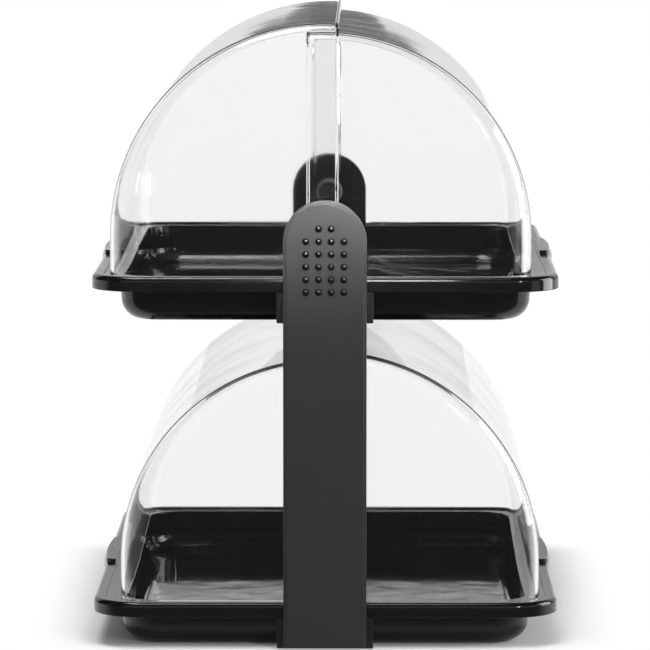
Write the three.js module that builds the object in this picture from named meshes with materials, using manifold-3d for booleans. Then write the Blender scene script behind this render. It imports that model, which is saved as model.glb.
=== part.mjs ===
// Two-tier roll-top display case in millimetres, +Z up.
// The origin is on the ground under the middle of the case.
// X runs across the case, Y along it, and each lid rolls about an axis along Y.

import * as THREE from 'three';
import { mergeVertices } from 'three/addons/utils/BufferGeometryUtils.js';
import Module from 'manifold-3d';

const wasm = await Module();
wasm.setup();

// Clearances that every fit takes
const fitGap = 0.3;
const cutOverrun = 1;
const weldDistance = 1e-4;

// Tray rim
const rimWidth = 316;
const rimLength = 440;
const rimCornerRadius = 34;
const rimEdgeRadius = 3.5;
const rimBandWidth = 8;
const rimBandBreak = 0.5;
const rimPlate = 2.5;
const rimSwell = 3;
const rimSwellLength = 156;
const skirtHeight = 10;
const skirtWall = 2.5;
const ledgeDrop = 1.2;
const padLength = 100;
const padHeight = 2.6;
const padInset = 1.8;
const padCornerRadius = 4;

// Tray body
const trayHeight = 32;
const trayWall = 2.8;
const trayFloor = 3;
const wellCornerRadius = 25;
const bodyFootRadius = 14;
const bodyDraft = 1;
const wellLipRadius = 0.8;
const sideLedgeMargin = 0.3;
const endLedgeMargin = 4.3;

// Lids
const lidWall = 2.2;
const lidStandOff = 4.5;
const lidEndStandOff = 1;
const lidRunGap = 3.8;
const lidEndRunGap = 2.6;
const outerLidOverlap = 9;
const innerLidOverlap = 12.5;
const outerLidTopRound = 9;
const innerLidTopRound = 10;
const lidBaseRound = 20;
const lipHeight = 1.2;
const lipWidth = 2.2;
const lidHandedTurn = Math.PI;

// Tiers and uprights
const tierHeadroom = 19.5;
const pivotRise = 24;
const uprightWidth = 56;
const uprightThickness = 8;
const uprightLift = 2.5;
const uprightEdgeBreak = 0.9;
const uprightShoulder = 0.8;
const uprightBevel = 0.9;
const uprightBevelDepth = 0.9;
const bumpDiameter = 5;
const bumpHeight = 2;
const bumpPitch = 8.5;
const bumpColumns = 4;
const bumpRows = 5;
const bumpTopRowColumns = 2;
const bumpRise = 3.2;

// Brackets under the rim ends
const bracketWidth = 65;
const bracketLift = 1;
const bracketWall = 3;
const screwRibWidth = 9;

// Pivots and screws
const pinDiameter = 8;
const pinHeadDiameter = 16;
const pinHeadHeight = 3;
const pinHeadCrown = 1.2;
const pinDepth = 5;
const bushDiameter = 18;
const washerDiameter = 20;
const washerEdge = 0.4;
const screwDiameter = 3.6;
const screwHeadDiameter = 8;
const screwHeadHeight = 2.4;
const screwHeadCrown = 0.8;
const screwBite = 5;
const screwSpacing = 36;
const screwSocketWidth = 1.6;
const screwSocketSpan = 4.8;
const screwSocketDepth = 1.3;

// Facet counts
const cornerSteps = 5;
const swellSteps = 6;
const filletSteps = 3;
const turnSteps = 16;
const fittingSteps = 12;
const lidStepDegrees = 4.5;
const bumpSides = 8;
const screwSides = 8;

// Heights over the bottom of one tray
const rimTop = trayHeight;
const ledgeTop = rimTop - ledgeDrop;
const skirtBottom = rimTop - skirtHeight;
const rimUnderside = ledgeTop - rimPlate;
const pivotHeight = rimTop + pivotRise;
const pivotOverLedge = pivotHeight - ledgeTop;

// Lid sizes follow from the rim, and the well follows from the lids that stand round it
const outerLidRadius = rimWidth / 2 - rimBandWidth - lidStandOff;
const outerLidEnd = rimLength / 2 - rimBandWidth - lidEndStandOff;
const innerLidRadius = outerLidRadius - lidWall - lidRunGap;
const innerLidEnd = outerLidEnd - lidWall - lidEndRunGap;
const wellHalfWidth = innerLidRadius - lidWall - sideLedgeMargin;
const wellHalfLength = innerLidEnd - lidWall - endLedgeMargin;
const bodyHalfWidth = wellHalfWidth + trayWall;
const bodyHalfLength = wellHalfLength + trayWall;
const bodyCornerRadius = wellCornerRadius + trayWall;

// The upper tier stands clear of the lower tier's outer lid
const tierPitch = pivotHeight + outerLidRadius + tierHeadroom;
const upperPivotHeight = tierPitch + pivotHeight;

// Places along Y, counted outward from the middle
const uprightInnerFace = rimLength / 2 + fitGap;
const bracketInnerFace = bodyHalfLength + fitGap;
const pinBore = pinDiameter + 2 * fitGap;
const screwBore = screwDiameter + 2 * fitGap;
const screwHeight = skirtBottom - fitGap - screwHeadDiameter / 2;

// Finishes of the pieces
const glossBlack = new THREE.MeshStandardMaterial({ color: 0x1c1c1d, roughness: 0.22, metalness: 0 });
const satinBlack = new THREE.MeshStandardMaterial({ color: 0x343435, roughness: 0.5, metalness: 0 });
const clearAcrylic = new THREE.MeshStandardMaterial({
  color: 0xe9eef0, roughness: 0.06, metalness: 0, transparent: true, opacity: 0.3, side: THREE.DoubleSide,
});
const palePlastic = new THREE.MeshStandardMaterial({ color: 0xb9bbb8, roughness: 0.45, metalness: 0 });
const zincSteel = new THREE.MeshStandardMaterial({ color: 0xa9abad, roughness: 0.35, metalness: 0.9 });

// Triangles whose corners stay apart once equal points are joined
function weldedGeometry(geometry) {
  const bare = geometry.clone();
  bare.deleteAttribute('normal');
  bare.deleteAttribute('uv');
  const welded = mergeVertices(bare, weldDistance);
  const corners = welded.index.array;
  const kept = [];
  for (let i = 0; i < corners.length; i += 3) {
    const [a, b, c] = [corners[i], corners[i + 1], corners[i + 2]];
    if (a !== b && b !== c && c !== a) kept.push(a, b, c);
  }
  welded.setIndex(kept);
  return welded;
}

// A solid that can be joined and cut, from a closed geometry
function solidFrom(geometry) {
  const welded = weldedGeometry(geometry);
  return new wasm.Manifold(new wasm.Mesh({
    numProp: 3,
    vertProperties: new Float32Array(welded.attributes.position.array),
    triVerts: new Uint32Array(welded.index.array),
  }));
}

// The drawn geometry of a solid, with flat facets
function geometryFrom(solid) {
  const mesh = solid.getMesh();
  const geometry = new THREE.BufferGeometry();
  geometry.setAttribute('position', new THREE.BufferAttribute(new Float32Array(mesh.vertProperties), 3));
  geometry.setIndex(new THREE.BufferAttribute(new Uint32Array(mesh.triVerts), 1));
  const facets = geometry.toNonIndexed();
  facets.computeVertexNormals();
  return facets;
}

// A named piece
function piece(name, solid, material) {
  const mesh = new THREE.Mesh(geometryFrom(solid), material);
  mesh.name = name;
  return mesh;
}

// A closed skin through level outlines of equal point counts, with a flat cap on the first and last
function loftedGeometry(outlines) {
  const positions = [];
  for (const { points, level } of outlines) {
    for (const point of points) positions.push(point.x, point.y, level);
  }
  const count = outlines[0].points.length;
  const faces = [];
  for (let ring = 0; ring < outlines.length - 1; ring += 1) {
    for (let i = 0; i < count; i += 1) {
      const next = (i + 1) % count;
      const a = ring * count + i;
      const b = ring * count + next;
      faces.push(a, b, b + count, a, b + count, a + count);
    }
  }
  const last = (outlines.length - 1) * count;
  for (const [a, b, c] of THREE.ShapeUtils.triangulateShape(outlines[0].points, [])) {
    faces.push(c, b, a);
  }
  for (const [a, b, c] of THREE.ShapeUtils.triangulateShape(outlines.at(-1).points, [])) {
    faces.push(last + a, last + b, last + c);
  }
  const geometry = new THREE.BufferGeometry();
  geometry.setAttribute('position', new THREE.Float32BufferAttribute(positions, 3));
  geometry.setIndex(faces);
  return geometry;
}

// A flat shape pushed along Y, with the shape's second direction upright
function extrudedAlongY(shape, from, to) {
  const geometry = new THREE.ExtrudeGeometry(shape, {
    depth: to - from, bevelEnabled: false, curveSegments: turnSteps,
  });
  geometry.rotateX(Math.PI / 2);
  geometry.translate(0, to, 0);
  return geometry;
}

// A box between two corners
function boxSolid(low, high) {
  const size = new THREE.Vector3().subVectors(high, low);
  const geometry = new THREE.BoxGeometry(size.x, size.y, size.z);
  const middle = new THREE.Vector3().addVectors(low, high).multiplyScalar(0.5);
  geometry.translate(middle.x, middle.y, middle.z);
  return solidFrom(geometry);
}

// A body turned about the Y axis from radius and place pairs
function turnedSolid(profile, steps = fittingSteps) {
  const points = profile.map(([radius, along]) => new THREE.Vector2(radius, along));
  return solidFrom(new THREE.LatheGeometry(points, steps));
}

// A round bar along Y that is used to cut a bore
function boreSolid(diameter, from, to) {
  return turnedSolid([[0, from], [diameter / 2, from], [diameter / 2, to], [0, to]]);
}

// How far the long side swells outward at a place along it, from 0 to 1
function swellShare(along) {
  const half = rimSwellLength / 2;
  if (Math.abs(along) >= half) return 0;
  return Math.cos((Math.PI / 2) * (along / half)) ** 2;
}

// The plan outline of a tray ring, with points along the long sides for the swell
function trayOutline(halfWidth, halfLength, cornerRadius, swell) {
  const points = [];
  const corners = [[1, 1, 0], [-1, 1, 1], [-1, -1, 2], [1, -1, 3]];
  for (const [sideX, sideY, quarter] of corners) {
    for (let i = 0; i <= cornerSteps; i += 1) {
      const angle = (quarter + i / cornerSteps) * (Math.PI / 2);
      points.push(new THREE.Vector2(
        sideX * (halfWidth - cornerRadius) + cornerRadius * Math.cos(angle),
        sideY * (halfLength - cornerRadius) + cornerRadius * Math.sin(angle),
      ));
    }
    const onLongSide = quarter === 1 || quarter === 3;
    for (let i = 0; onLongSide && i <= swellSteps; i += 1) {
      const along = sideY * (1 - (2 * i) / swellSteps) * (rimSwellLength / 2);
      points.push(new THREE.Vector2(sideX * (halfWidth + swell * swellShare(along)), along));
    }
  }
  return points;
}

// A quarter turn of a fillet as inset and height pairs, from the first direction to the second
function filletArc(radius, startAngle) {
  const steps = [];
  for (let i = 0; i <= filletSteps; i += 1) {
    const angle = startAngle + (i / filletSteps) * (Math.PI / 2);
    steps.push([radius * Math.cos(angle), radius * Math.sin(angle)]);
  }
  return steps;
}

// The rings of the well, from the floor up to the ledge
function wellRings() {
  const floorRadius = bodyFootRadius - trayWall;
  const rings = [];
  for (const [out, up] of filletArc(floorRadius, -Math.PI / 2)) {
    const inset = floorRadius - out + bodyDraft;
    rings.push([wellHalfWidth - inset, wellHalfLength - inset, wellCornerRadius - inset, 0, trayFloor + floorRadius + up]);
  }
  rings.push([wellHalfWidth, wellHalfLength, wellCornerRadius, 0, ledgeTop - wellLipRadius]);
  rings.push([
    wellHalfWidth + wellLipRadius, wellHalfLength + wellLipRadius, wellCornerRadius + wellLipRadius, 0, ledgeTop,
  ]);
  return rings;
}

// The rings of the rim, from the ledge over the raised band and down the skirt
function rimRings() {
  const halfWidth = rimWidth / 2;
  const halfLength = rimLength / 2;
  const at = (inset, share, height) => [
    halfWidth - inset, halfLength - inset, rimCornerRadius - inset, rimSwell * share, height,
  ];
  const rings = [
    at(rimBandWidth, 0, ledgeTop),
    at(rimBandWidth, 0, rimTop - rimBandBreak),
    at(rimBandWidth - rimBandBreak, 0, rimTop),
  ];
  for (const [out, up] of filletArc(rimEdgeRadius, 0).reverse()) {
    rings.push(at(rimEdgeRadius - out, 1, rimTop - rimEdgeRadius + up));
  }
  rings.push(
    at(0, 1, skirtBottom + rimBandBreak),
    at(rimBandBreak, 1, skirtBottom),
    at(skirtWall, 1, skirtBottom),
    at(skirtWall, 1, rimUnderside),
  );
  return rings;
}

// The rings of the body, from under the rim down to the flat bottom
function bodyRings() {
  const rings = [[bodyHalfWidth, bodyHalfLength, bodyCornerRadius, 0, rimUnderside]];
  for (const [out, down] of filletArc(bodyFootRadius, 0)) {
    const inset = bodyFootRadius - out + bodyDraft;
    rings.push([
      bodyHalfWidth - inset, bodyHalfLength - inset, bodyCornerRadius - inset, 0, bodyFootRadius - down,
    ]);
  }
  return rings;
}

// The plan of a grip pad towards +X, with rounded corners and an outer edge that follows the rim's swell
function padOutline() {
  const half = padLength / 2;
  const straight = half - padCornerRadius;
  const root = rimWidth / 2 - rimBandWidth + rimBandBreak;
  const reachAt = (along) => rimWidth / 2 + rimSwell * swellShare(along) - padInset;
  const corner = filletArc(padCornerRadius, 0).reverse().map(
    ([out, along]) => [reachAt(straight) - padCornerRadius + out, straight + along],
  );
  const firstEnd = [[root, half], ...corner];
  const lastEnd = firstEnd.map(([out, along]) => [out, -along]).reverse();
  const edge = [];
  for (let i = 1; i < swellSteps; i += 1) {
    const along = straight * (1 - (2 * i) / swellSteps);
    edge.push([reachAt(along), along]);
  }
  return [...firstEnd, ...edge, ...lastEnd].map(([out, along]) => new THREE.Vector2(out, along));
}

// The raised pad in the middle of a long side, where a hand takes hold of the rim
function padSolid(side) {
  const sink = rimEdgeRadius / 2;
  const geometry = new THREE.ExtrudeGeometry(new THREE.Shape(padOutline()), {
    depth: padHeight + sink, bevelEnabled: false,
  });
  geometry.translate(0, 0, rimTop - sink);
  if (side < 0) geometry.rotateZ(Math.PI);
  return solidFrom(geometry);
}

// Screw bores through both end walls of a tray
function trayScrewBores() {
  const reach = bodyHalfLength + cutOverrun;
  const bores = [];
  for (const end of [-1, 1]) {
    for (const side of [-1, 1]) {
      const from = Math.min(end * reach, end * (wellHalfLength - bodyDraft - cutOverrun));
      const to = Math.max(end * reach, end * (wellHalfLength - bodyDraft - cutOverrun));
      bores.push(boreSolid(screwBore, from, to).translate(side * screwSpacing / 2, 0, screwHeight));
    }
  }
  return bores;
}

// One tray: well, ledge, raised band, skirt and body in one moulding
function traySolid() {
  const rings = [...wellRings(), ...rimRings(), ...bodyRings()].reverse();
  const outlines = rings.map(([halfWidth, halfLength, radius, swell, level]) => ({
    points: trayOutline(halfWidth, halfLength, radius, swell), level,
  }));
  let tray = solidFrom(loftedGeometry(outlines));
  for (const side of [-1, 1]) tray = tray.add(padSolid(side));
  for (const bore of trayScrewBores()) tray = tray.subtract(bore);
  return tray;
}

// The rounding between a lid's curved wall and its end walls, which grows towards the base
function lidRound(angle, topRound, baseRound) {
  const share = THREE.MathUtils.clamp((angle - Math.PI / 2) / (Math.PI / 2), 0, 1);
  return topRound + (baseRound - topRound) * share ** 2;
}

// The angles at which a lid's drum has a section, close together where the lid is
function lidSectionAngles() {
  const step = THREE.MathUtils.degToRad(lidStepDegrees);
  const angles = [];
  for (let angle = Math.PI / 2 - 2 * step; angle < Math.PI + 4 * step; angle += step) angles.push(angle);
  const coarse = 5;
  const start = angles.at(-1);
  const rest = angles[0] + 2 * Math.PI - start;
  for (let i = 1; i < coarse; i += 1) angles.push(start + (i / coarse) * rest);
  return angles;
}

// The curved wall's distance from the pivot: round over the pivot, and straight down below it
function lidReach(angle, radius) {
  const below = angle - Math.PI;
  const straight = below > 0 && below < Math.PI / 6;
  return straight ? radius / Math.cos(below) : radius;
}

// A drum about the pivot axis with rounded rims
function drumSolid(radius, halfLength, topRound, baseRound) {
  const positions = [0, -halfLength, 0, 0, halfLength, 0];
  const angles = lidSectionAngles();
  const perSection = 2 * (filletSteps + 1);
  for (const angle of angles) {
    const round = lidRound(angle, topRound, baseRound);
    const reach = lidReach(angle, radius);
    for (const end of [-1, 1]) {
      const arc = filletArc(round, 0).map(([out, along]) => [reach - round + out, halfLength - round + along]);
      if (end < 0) arc.reverse();
      for (const [distance, along] of arc) {
        positions.push(distance * Math.cos(angle), end * along, distance * Math.sin(angle));
      }
    }
  }
  const faces = [];
  for (let section = 0; section < angles.length; section += 1) {
    const here = 2 + section * perSection;
    const there = 2 + ((section + 1) % angles.length) * perSection;
    for (let i = 0; i < perSection - 1; i += 1) {
      faces.push(here + i, here + i + 1, there + i + 1, here + i, there + i + 1, there + i);
    }
    faces.push(0, here, there);
    faces.push(1, there + perSection - 1, here + perSection - 1);
  }
  const geometry = new THREE.BufferGeometry();
  geometry.setAttribute('position', new THREE.Float32BufferAttribute(positions, 3));
  geometry.setIndex(faces);
  return solidFrom(geometry);
}

// The side outline of a lid: its base line, its free edge, and the round foot under the pivot
function lidSideShape(radius, overlap) {
  const outside = radius + lipHeight + cutOverrun;
  const footRadius = pivotOverLedge - fitGap;
  const footAngle = Math.acos(overlap / footRadius);
  const shape = new THREE.Shape();
  shape.moveTo(overlap, outside);
  shape.lineTo(-outside, outside);
  shape.lineTo(-outside, -footRadius);
  shape.lineTo(0, -footRadius);
  shape.absarc(0, 0, footRadius, -Math.PI / 2, -footAngle, false);
  shape.closePath();
  return shape;
}

// A lid that stands on the side towards -X, with its pivot at the origin
function lidSolid(radius, halfLength, topRound, overlap, withLip) {
  const outer = drumSolid(radius, halfLength, topRound, lidBaseRound);
  const inner = drumSolid(radius - lidWall, halfLength - lidWall, topRound - lidWall, lidBaseRound - lidWall);
  const reach = halfLength + cutOverrun;
  let drum = outer;
  if (withLip) {
    const raised = drumSolid(radius + lipHeight, halfLength, topRound, lidBaseRound);
    const strip = boxSolid(
      new THREE.Vector3(overlap - lipWidth, -reach, 0),
      new THREE.Vector3(overlap + cutOverrun, reach, radius + lipHeight + cutOverrun),
    );
    drum = drum.add(raised.intersect(strip));
  }
  const side = solidFrom(extrudedAlongY(lidSideShape(radius, overlap), -reach, reach));
  return drum.subtract(inner).intersect(side).subtract(boreSolid(pinBore, -reach, reach));
}

// The upright's outline: straight sides with a full round over the upper pivot
function uprightOutline(inset) {
  const half = uprightWidth / 2 - inset;
  const points = [];
  points.push(new THREE.Vector2(-half, uprightLift + inset));
  points.push(new THREE.Vector2(half, uprightLift + inset));
  for (let i = 0; i <= turnSteps; i += 1) {
    const angle = (i / turnSteps) * Math.PI;
    points.push(new THREE.Vector2(half * Math.cos(angle), upperPivotHeight + half * Math.sin(angle)));
  }
  return points;
}

// The low domes of the grip pattern at the top of an upright, as places across and up
function bumpPlaces() {
  const places = [];
  for (let row = 0; row <= bumpRows; row += 1) {
    const columns = row === bumpRows ? bumpTopRowColumns : bumpColumns;
    for (let column = 0; column < columns; column += 1) {
      const across = (column - (columns - 1) / 2) * bumpPitch;
      places.push([across, upperPivotHeight + bumpRise + (row - bumpRows) * bumpPitch + bumpPitch]);
    }
  }
  return places;
}

// One low dome that stands on the outer face
function bumpGeometry() {
  const geometry = new THREE.SphereGeometry(bumpDiameter / 2, bumpSides, bumpSides / 2);
  geometry.rotateX(Math.PI / 2);
  geometry.scale(1, 1, bumpHeight / (bumpDiameter / 2));
  return geometry;
}

// An upright at the -Y end: a bar with a stepped edge, its dome pattern and its blind bores
function uprightSolid() {
  const ledge = uprightThickness - uprightBevelDepth;
  const outlines = [
    { points: uprightOutline(0), level: 0 },
    { points: uprightOutline(0), level: ledge - uprightEdgeBreak },
    { points: uprightOutline(uprightEdgeBreak), level: ledge },
    { points: uprightOutline(uprightEdgeBreak + uprightShoulder), level: ledge },
    { points: uprightOutline(uprightEdgeBreak + uprightShoulder + uprightBevel), level: uprightThickness },
  ];
  let bar = solidFrom(loftedGeometry(outlines));
  for (const [across, up] of bumpPlaces()) {
    const bump = bumpGeometry();
    bump.translate(across, up, uprightThickness);
    bar = bar.add(solidFrom(bump));
  }
  bar = bar.rotate([90, 0, 0]).translate(0, -uprightInnerFace, 0);
  const face = -uprightInnerFace + cutOverrun;
  for (const height of [pivotHeight, upperPivotHeight]) {
    const depth = pinDepth + fitGap;
    bar = bar.subtract(boreSolid(pinBore, -uprightInnerFace - depth, face).translate(0, 0, height));
  }
  for (const height of [screwHeight, tierPitch + screwHeight]) {
    for (const side of [-1, 1]) {
      const bore = boreSolid(screwBore, -uprightInnerFace - screwBite - fitGap, face);
      bar = bar.subtract(bore.translate(side * screwSpacing / 2, 0, height));
    }
  }
  return bar;
}

// The side profile of a bracket: full depth under the skirt, and stepped back behind it
function bracketProfile() {
  const front = rimLength / 2;
  const behindSkirt = front - skirtWall - fitGap;
  const underSkirt = skirtBottom - fitGap;
  const top = rimUnderside - fitGap;
  return [
    [front, bracketLift], [front, underSkirt], [behindSkirt, underSkirt], [behindSkirt, top],
    [bracketInnerFace, top], [bracketInnerFace, bracketLift],
  ];
}

// A bracket at the -Y end: it fills the space under the rim and carries the upright
function bracketSolid() {
  const shape = new THREE.Shape(bracketProfile().map(([out, up]) => new THREE.Vector2(-out, up)));
  const half = bracketWidth / 2;
  const geometry = new THREE.ExtrudeGeometry(shape, {
    depth: bracketWidth, bevelEnabled: false,
  });
  geometry.rotateX(Math.PI / 2);
  geometry.rotateZ(Math.PI / 2);
  geometry.translate(-half, 0, 0);
  let block = solidFrom(geometry);
  const pocketTop = skirtBottom - fitGap - bracketWall;
  const from = -(rimLength / 2) + bracketWall;
  const to = -bracketInnerFace - bracketWall;
  const ribInner = screwSpacing / 2 - screwRibWidth / 2;
  const ribOuter = screwSpacing / 2 + screwRibWidth / 2;
  const pockets = [[-half + bracketWall, -ribOuter], [-ribInner, ribInner], [ribOuter, half - bracketWall]];
  for (const [left, right] of pockets) {
    block = block.subtract(boxSolid(
      new THREE.Vector3(left, from, bracketLift - cutOverrun),
      new THREE.Vector3(right, to, pocketTop),
    ));
  }
  for (const side of [-1, 1]) {
    const bore = boreSolid(screwBore, -(rimLength / 2) - cutOverrun, -bracketInnerFace + cutOverrun);
    block = block.subtract(bore.translate(side * screwSpacing / 2, 0, screwHeight));
  }
  return block;
}

// A pivot pin at the -Y end: its crowned head is inside the inner lid, its tip in the upright
function pinSolid() {
  const seat = -(innerLidEnd - lidWall) + fitGap;
  const tip = -uprightInnerFace - pinDepth;
  const headTop = seat + pinHeadHeight;
  const radius = pinDiameter / 2;
  const headRadius = pinHeadDiameter / 2;
  return turnedSolid([
    [0, tip], [radius - washerEdge, tip], [radius, tip + washerEdge], [radius, seat],
    [headRadius, seat], [headRadius, headTop - pinHeadCrown],
    [headRadius - pinHeadCrown, headTop], [0, headTop],
  ]);
}

// A ring about the pin between two places along Y, with broken edges
function ringSolid(diameter, from, to) {
  const radius = diameter / 2;
  const bore = pinBore / 2;
  return turnedSolid([
    [bore, from], [radius - washerEdge, from], [radius, from + washerEdge],
    [radius, to - washerEdge], [radius - washerEdge, to], [bore, to], [bore, from],
  ]);
}

// The bush that holds the outer lid off the upright at the -Y end
function bushSolid() {
  return ringSolid(bushDiameter, -uprightInnerFace + fitGap, -outerLidEnd - fitGap);
}

// The washer that keeps the two lids' end walls apart at the -Y end
function washerSolid() {
  return ringSolid(washerDiameter, -(outerLidEnd - lidWall) + fitGap, -innerLidEnd - fitGap);
}

// A screw at the -Y end: its head is in the well, and it runs through the bracket into the upright
function screwSolid() {
  const seat = -wellHalfLength + bodyDraft + fitGap;
  const tip = -uprightInnerFace - screwBite;
  const headTop = seat + screwHeadHeight;
  const radius = screwDiameter / 2;
  const headRadius = screwHeadDiameter / 2;
  let screw = turnedSolid([
    [0, tip], [radius / 2, tip], [radius, tip + radius], [radius, seat],
    [headRadius, seat], [headRadius, headTop - screwHeadCrown],
    [headRadius - screwHeadCrown, headTop], [0, headTop],
  ], screwSides);
  for (const [width, span] of [[screwSocketWidth, screwSocketSpan], [screwSocketSpan, screwSocketWidth]]) {
    screw = screw.subtract(boxSolid(
      new THREE.Vector3(-width / 2, headTop - screwSocketDepth, -span / 2),
      new THREE.Vector3(width / 2, headTop + cutOverrun, span / 2),
    ));
  }
  return screw;
}

// A group that is raised to a height
function raisedGroup(height) {
  const group = new THREE.Group();
  group.position.z = height;
  return group;
}

// The pieces that one tier has at one end
function endFittings(name) {
  const group = new THREE.Group();
  group.add(piece(`${name}_bracket`, bracketSolid(), satinBlack));
  for (const [word, side] of [['left', -1], ['right', 1]]) {
    const screw = piece(`${name}_screw_${word}`, screwSolid(), zincSteel);
    screw.position.set(side * screwSpacing / 2, 0, screwHeight);
    group.add(screw);
  }
  const pivot = raisedGroup(pivotHeight);
  pivot.add(piece(`${name}_pivot_pin`, pinSolid(), satinBlack));
  pivot.add(piece(`${name}_pivot_bush`, bushSolid(), satinBlack));
  pivot.add(piece(`${name}_pivot_washer`, washerSolid(), palePlastic));
  group.add(pivot);
  return group;
}

// One end of the case: the upright with the fittings of both tiers
function caseEnd(name, turn) {
  const group = new THREE.Group();
  group.rotation.z = turn;
  group.add(piece(`${name}_upright`, uprightSolid(), satinBlack));
  for (const [tier, height] of [['lower', 0], ['upper', tierPitch]]) {
    const fittings = endFittings(`${name}_${tier}`);
    fittings.position.z = height;
    group.add(fittings);
  }
  return group;
}

// One tier: its tray and its two lids, with the outer lid on the side towards -X before the turn
function caseTier(name, height, turn) {
  const group = raisedGroup(height);
  group.add(piece(`${name}_tray`, traySolid(), glossBlack));
  const outerSolid = lidSolid(outerLidRadius, outerLidEnd, outerLidTopRound, outerLidOverlap, true);
  const innerSolid = lidSolid(innerLidRadius, innerLidEnd, innerLidTopRound, innerLidOverlap, false);
  const outerLid = piece(`${name}_outer_lid`, outerSolid, clearAcrylic);
  const innerLid = piece(`${name}_inner_lid`, innerSolid, clearAcrylic);
  outerLid.position.z = pivotHeight;
  innerLid.position.z = pivotHeight;
  outerLid.rotation.z = turn;
  innerLid.rotation.z = turn + lidHandedTurn;
  group.add(outerLid, innerLid);
  return group;
}

const displayCase = new THREE.Group();
displayCase.name = 'roll_top_display_case';
displayCase.add(caseTier('upper', tierPitch, 0));
displayCase.add(caseTier('lower', 0, Math.PI));
displayCase.add(caseEnd('front', 0));
displayCase.add(caseEnd('rear', Math.PI));

export default displayCase;
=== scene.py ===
"""Two-tier roll-top display case: its finished surfaces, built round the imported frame, in metres."""

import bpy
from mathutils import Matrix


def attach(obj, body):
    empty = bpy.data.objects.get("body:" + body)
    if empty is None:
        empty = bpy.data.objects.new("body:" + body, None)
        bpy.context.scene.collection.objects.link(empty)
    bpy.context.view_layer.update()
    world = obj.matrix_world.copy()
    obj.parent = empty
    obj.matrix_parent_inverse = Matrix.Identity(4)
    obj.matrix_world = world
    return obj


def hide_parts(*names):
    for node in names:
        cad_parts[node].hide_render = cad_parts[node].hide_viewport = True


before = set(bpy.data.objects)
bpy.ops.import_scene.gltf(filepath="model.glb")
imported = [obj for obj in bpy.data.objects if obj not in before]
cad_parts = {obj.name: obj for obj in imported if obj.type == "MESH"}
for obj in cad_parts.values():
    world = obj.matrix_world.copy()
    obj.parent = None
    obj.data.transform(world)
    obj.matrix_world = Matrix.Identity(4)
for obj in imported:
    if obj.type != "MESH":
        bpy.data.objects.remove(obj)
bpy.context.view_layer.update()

import logging
import math
from dataclasses import dataclass, field
from enum import Enum
from typing import Callable, Iterable, Sequence

import bmesh
import bpy
from mathutils import Matrix, Vector
from mathutils.kdtree import KDTree

Piece = bpy.types.Object
Face = bmesh.types.BMFace
Material = bpy.types.Material
Tree = bpy.types.NodeTree
Socket = bpy.types.NodeSocket
Values = dict[str, object]
Point = tuple[float, float]
Place = tuple[float, float, float]

LOG = logging.getLogger("display_case")
MESH = bpy.ops.mesh
MM = 0.001
MERGE = 0.02 * MM
FACE_WEIGHT = 80
QUARTER = math.pi / 2
HALF_TURN = Matrix.Rotation(math.pi, 4, "Z")
RIGHT, BACK, UP = Vector((1, 0, 0)), Vector((0, 1, 0)), Vector((0, 0, 1))


class Tier(Enum):
    """The two tiers of the case, with the name that their nodes start with."""

    LOWER = "lower"
    UPPER = "upper"


class End(Enum):
    """The two ends of the case, with the name that their nodes start with."""

    FRONT = "front"
    REAR = "rear"


class LidKind(Enum):
    """The two nested lids of one tier."""

    OUTER = "outer"
    INNER = "inner"


# ---- colour and nodes


def linear(code: str) -> tuple[float, float, float, float]:
    """Turns an sRGB hex colour to the linear colour that a shader takes.

    Args:
        code: Six hex digits, with or without a leading sign.

    Returns:
        Linear red, green, blue and a full alpha.
    """
    digits = code.lstrip("#")
    shares = [int(digits[i:i + 2], 16) / 255 for i in (0, 2, 4)]
    red, green, blue = [s / 12.92 if s <= 0.04045 else ((s + 0.055) / 1.055) ** 2.4 for s in shares]
    return red, green, blue, 1.0


def add_node(tree: Tree, kind: str, settings: Values | None = None, values: Values | None = None,
             links: dict[str, Socket] | None = None) -> bpy.types.Node:
    """Adds one node with its settings, its socket values and its incoming links.

    Args:
        tree: The node tree that the node joins.
        kind: The node's type name after "ShaderNode".
        settings: Attributes set on the node.
        values: Values set on inputs, by name or by index as text.
        links: Sockets linked to inputs, by name or by index as text.

    Returns:
        The new node.
    """
    node = tree.nodes.new(f"ShaderNode{kind}")
    for name, value in (settings or {}).items():
        setattr(node, name, value)
    for name, value in (values or {}).items():
        node.inputs[int(name) if name.isdigit() else name].default_value = value
    for name, socket in (links or {}).items():
        tree.links.new(socket, node.inputs[int(name) if name.isdigit() else name])
    return node


def emptied_tree(owner: Material | bpy.types.World) -> Tree:
    """Gives a material or a world a node tree with nothing in it."""
    owner.use_nodes = True
    owner.node_tree.nodes.clear()
    return owner.node_tree


def ray_kinds(tree: Tree) -> tuple[bpy.types.Node, Socket, Socket]:
    """Tells mirrored rays from straight looks through clear pieces.

    Args:
        tree: The node tree of the surface that asks.

    Returns:
        The Light Path node, 1 for a ray that was mirrored at least once, and 1 for a look straight through.
    """
    path = add_node(tree, "LightPath")
    mirrored = add_node(tree, "Math", {"operation": "MINIMUM"}, {"1": 1.0},
                        {"0": path.outputs["Glossy Depth"]}).outputs[0]
    straight = add_node(tree, "Math", {"operation": "SUBTRACT", "use_clamp": True},
                        links={"0": path.outputs["Is Transmission Ray"], "1": mirrored}).outputs[0]
    return path, mirrored, straight


# ---- modelling by hand operators


def deselect_everything() -> None:
    """Leaves edit mode and deselects every object."""
    if bpy.context.object and bpy.context.object.mode != "OBJECT":
        close_edit()
    bpy.ops.object.select_all(action="DESELECT")


def select_only(piece: Piece) -> None:
    """Makes one object the selected and active one."""
    deselect_everything()
    piece.select_set(True)
    bpy.context.view_layer.objects.active = piece


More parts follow.
